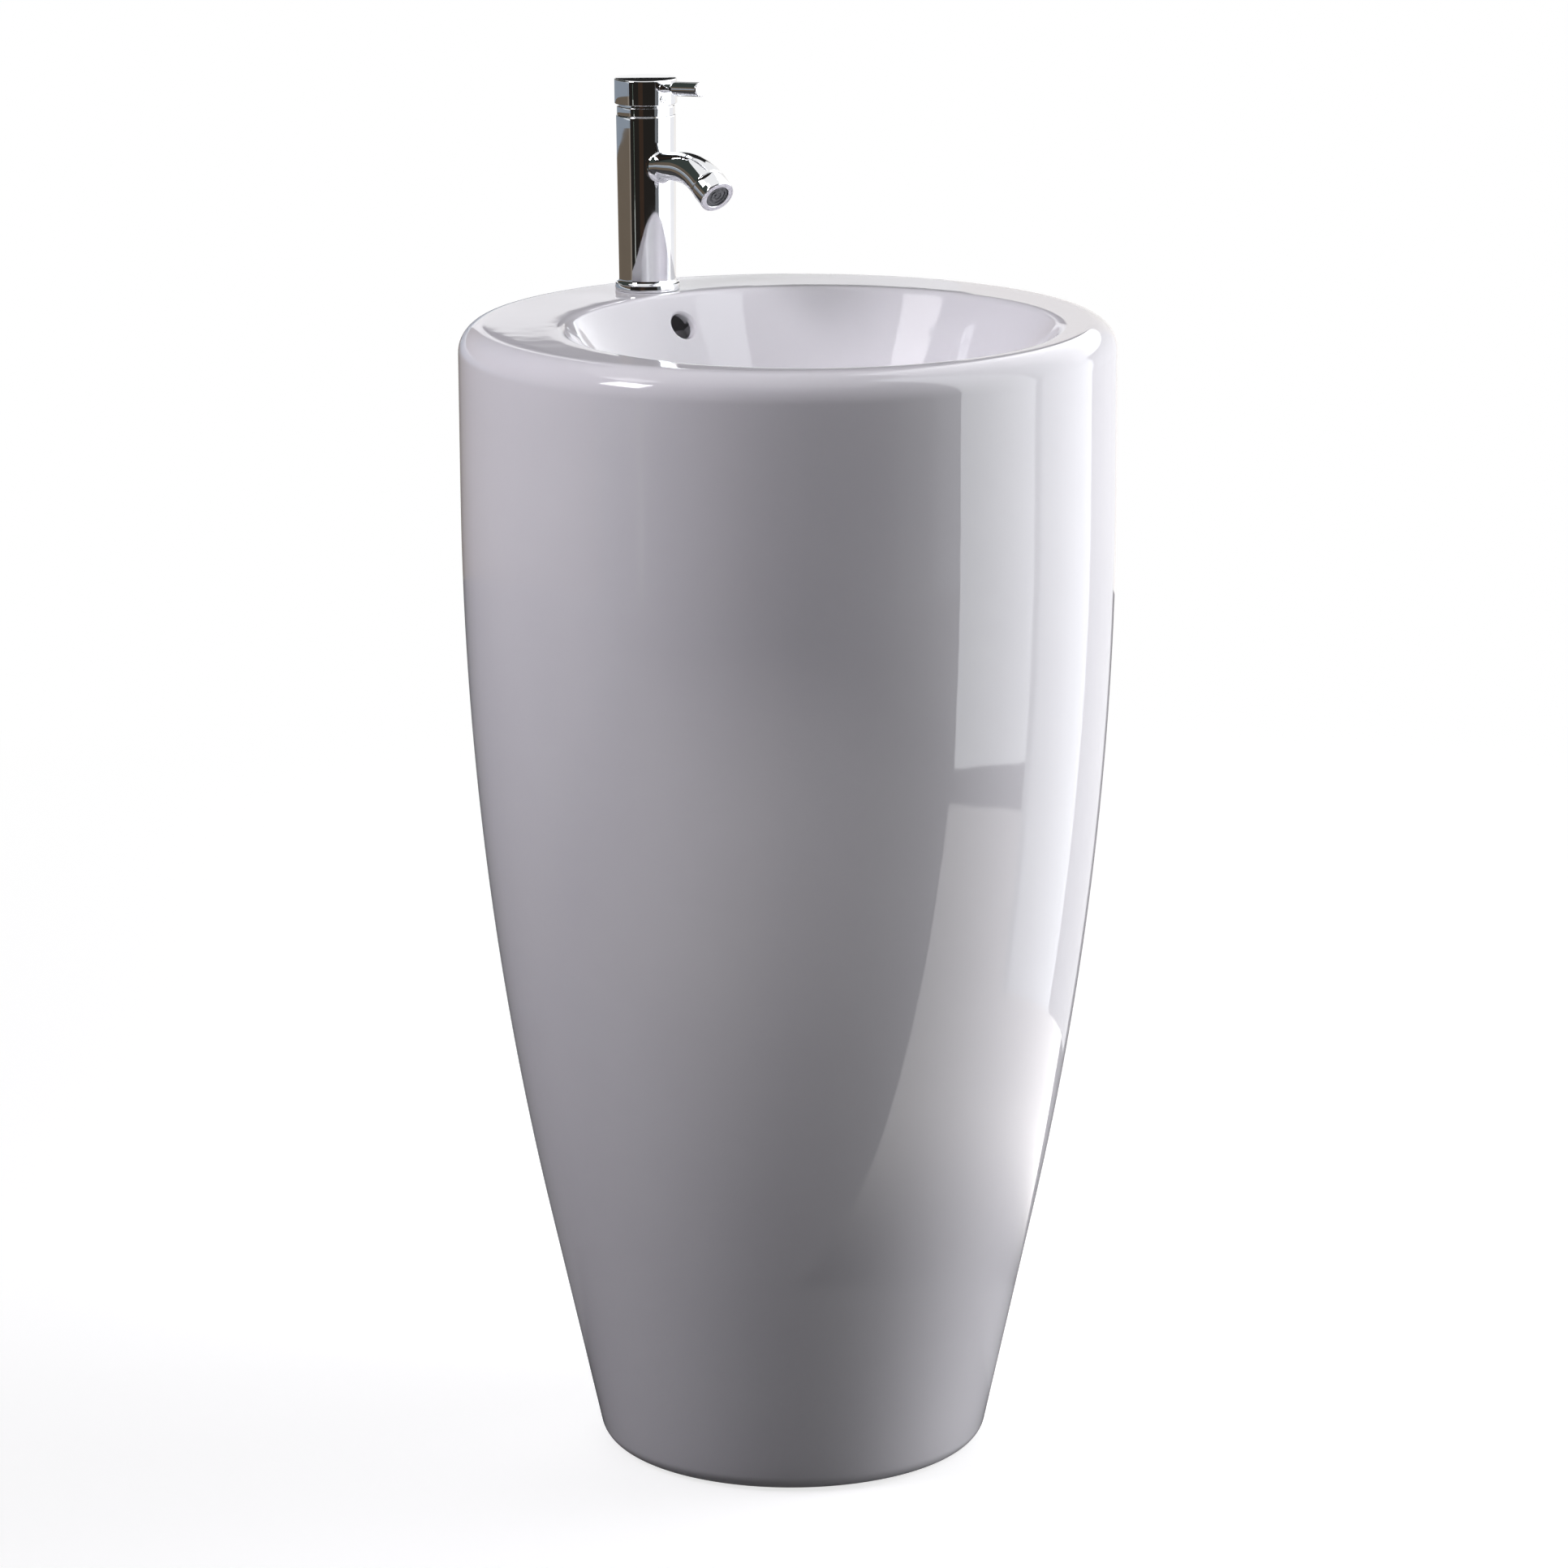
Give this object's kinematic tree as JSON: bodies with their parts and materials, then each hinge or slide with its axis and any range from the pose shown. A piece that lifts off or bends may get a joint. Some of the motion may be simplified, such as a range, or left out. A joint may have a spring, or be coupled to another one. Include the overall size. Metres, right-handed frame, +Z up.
{
  "type": "pedestal sink",
  "caption": "Free-standing round washbasin: a tapering ceramic pedestal and bowl in one piece, with a single-lever chrome mixer tap, a click waste and a bottle trap.",
  "frame": {"origin": "on the floor, at the centre of the pedestal's round foot", "axes": "+Z up; the user stands at -Y and the bowl is shifted that way; the tap stands at +Y with its spout and lever pointing to -Y; +X to the user's right"},
  "size_m": [0.48, 0.48, 1.0124],
  "materials": {
    "glazed_ceramic": "high-gloss white glaze",
    "chrome": "polished chrome plate on brass",
    "brass": "machined brass",
    "steel": "zinc-plated steel",
    "rubber": "black rubber",
    "white_plastic": "moulded white polypropylene",
    "grey_plastic": "moulded grey plastic",
    "disc_ceramic": "lapped alumina"
  },
  "bodies": {
    "root": {"basin": "glazed_ceramic", "tap_body": "chrome", "base_seal": "rubber", "rubber_washer": "rubber", "clamp_plate": "steel", "fixing_nut": "brass", "fixing_stud": "steel", "aerator_housing": "chrome", "aerator_insert": "grey_plastic", "aerator_washer": "rubber", "cartridge_body": "grey_plastic", "fixed_disc": "disc_ceramic", "cartridge_nut": "brass", "trim_ring": "chrome", "waste_body": "chrome", "flange_gasket": "rubber", "click_cartridge": "brass", "conical_washer": "rubber", "slide_washer": "steel", "back_nut": "brass", "tail_washer": "rubber", "tailpiece": "white_plastic", "tail_nut": "white_plastic", "inlet_nut": "white_plastic", "inlet_washer": "rubber", "trap_body": "white_plastic", "cup_seal": "rubber", "trap_cup": "white_plastic", "outlet_pipe": "white_plastic", "outlet_nut": "white_plastic", "outlet_washer": "rubber"},
    "turret": {"cartridge_turret": "grey_plastic", "pivot_pin": "steel"},
    "disc": {"moving_disc": "disc_ceramic"},
    "handle": {"cartridge_stem": "brass", "handle_cap": "chrome", "lever_rod": "chrome", "grub_screw": "steel", "index_plug": "chrome"},
    "plug": {"plug_cap": "chrome", "plug_seal": "rubber"}
  },
  "joints": [
    {"name": "temperature_turn", "type": "hinge", "parent": "root", "child": "turret", "pos_m": [0, 0.183, 0.97], "axis": [0, 0, 1], "range_deg": [-45, 45]},
    {"name": "flow_lift", "type": "hinge", "parent": "turret", "child": "handle", "pos_m": [0, 0.183, 0.9703], "axis": [-1, 0, 0], "range_deg": [0, 20]},
    {"name": "disc_slide", "type": "slide", "parent": "turret", "child": "disc", "axis": [0, -1, 0], "range_m": [0, 0.0031]},
    {"name": "plug_lift", "type": "slide", "parent": "root", "child": "plug", "axis": [0, 0, 1], "range_m": [0, 0.008]}
  ],
  "couplings": [
    {"joint": "disc_slide", "follows": "flow_lift", "m_per_rad": 0.00872}
  ]
}
